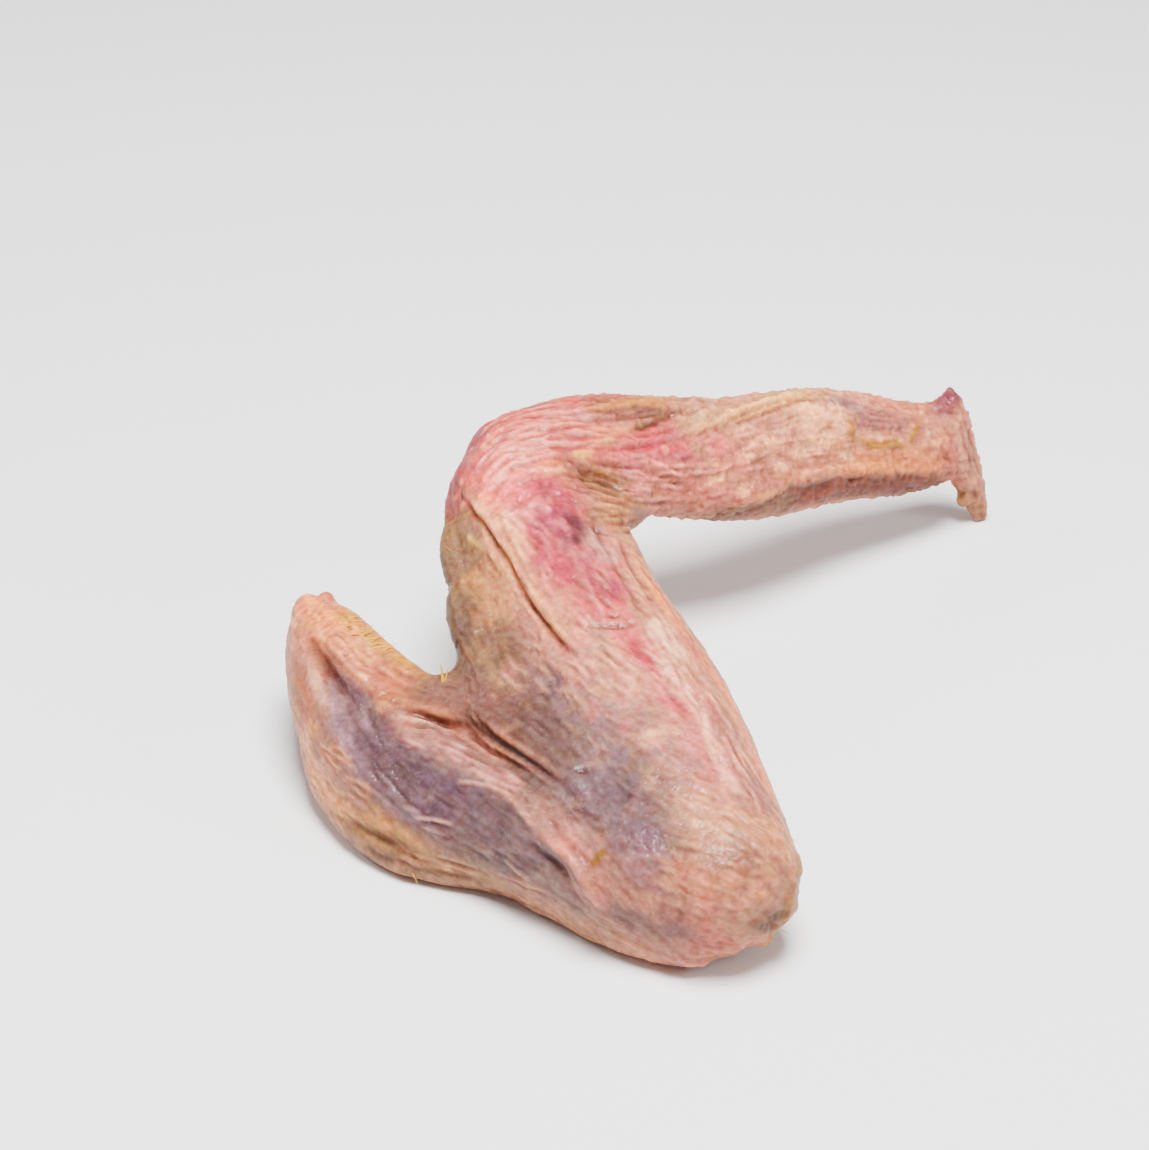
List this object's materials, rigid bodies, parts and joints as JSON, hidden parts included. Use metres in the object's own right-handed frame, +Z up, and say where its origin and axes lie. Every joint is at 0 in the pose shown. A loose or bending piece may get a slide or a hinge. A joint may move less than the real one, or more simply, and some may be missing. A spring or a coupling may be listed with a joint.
{
  "type": "raw goose wing",
  "caption": "Raw plucked goose wing folded in a Z: upper arm, web of skin, forearm, hand and cut tip.",
  "frame": {"origin": "on the surface that the wing lies on, under the middle of its bounding box", "axes": "+Z up from the surface, +Y away from the viewer of the picture, +X to the viewer's right"},
  "size_m": [0.2094, 0.2336, 0.0798],
  "materials": {
    "raw_goose_skin": "satin"
  },
  "bodies": {
    "root": {"goose_wing": "raw_goose_skin"}
  },
  "joints": []
}
